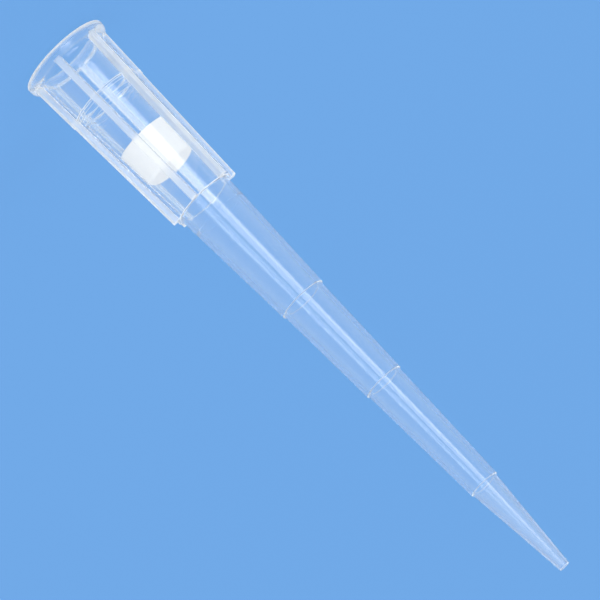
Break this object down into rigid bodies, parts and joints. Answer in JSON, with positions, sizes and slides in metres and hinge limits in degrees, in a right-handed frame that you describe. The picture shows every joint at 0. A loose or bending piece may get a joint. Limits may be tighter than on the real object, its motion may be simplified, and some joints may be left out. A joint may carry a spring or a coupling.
{
  "type": "filtered pipette tip",
  "caption": "Clear tapered pipette tip with a ribbed, rimmed socket, stepped volume marks along the tube and a white filter plug inside.",
  "frame": {"origin": "centre of the rim's face at the open end, on which the tip stands", "axes": "+Z along the tip's axis from the open end to the dispensing end; +X along one of the six ribs"},
  "size_m": [0.0074, 0.0074, 0.054],
  "materials": {
    "clear_plastic": "clear moulded polypropylene, glossy and very slightly milky",
    "filter_plastic": "matt white sintered polyethylene"
  },
  "bodies": {
    "root": {"tip_body": "clear_plastic", "filter_plug": "filter_plastic"}
  },
  "joints": []
}
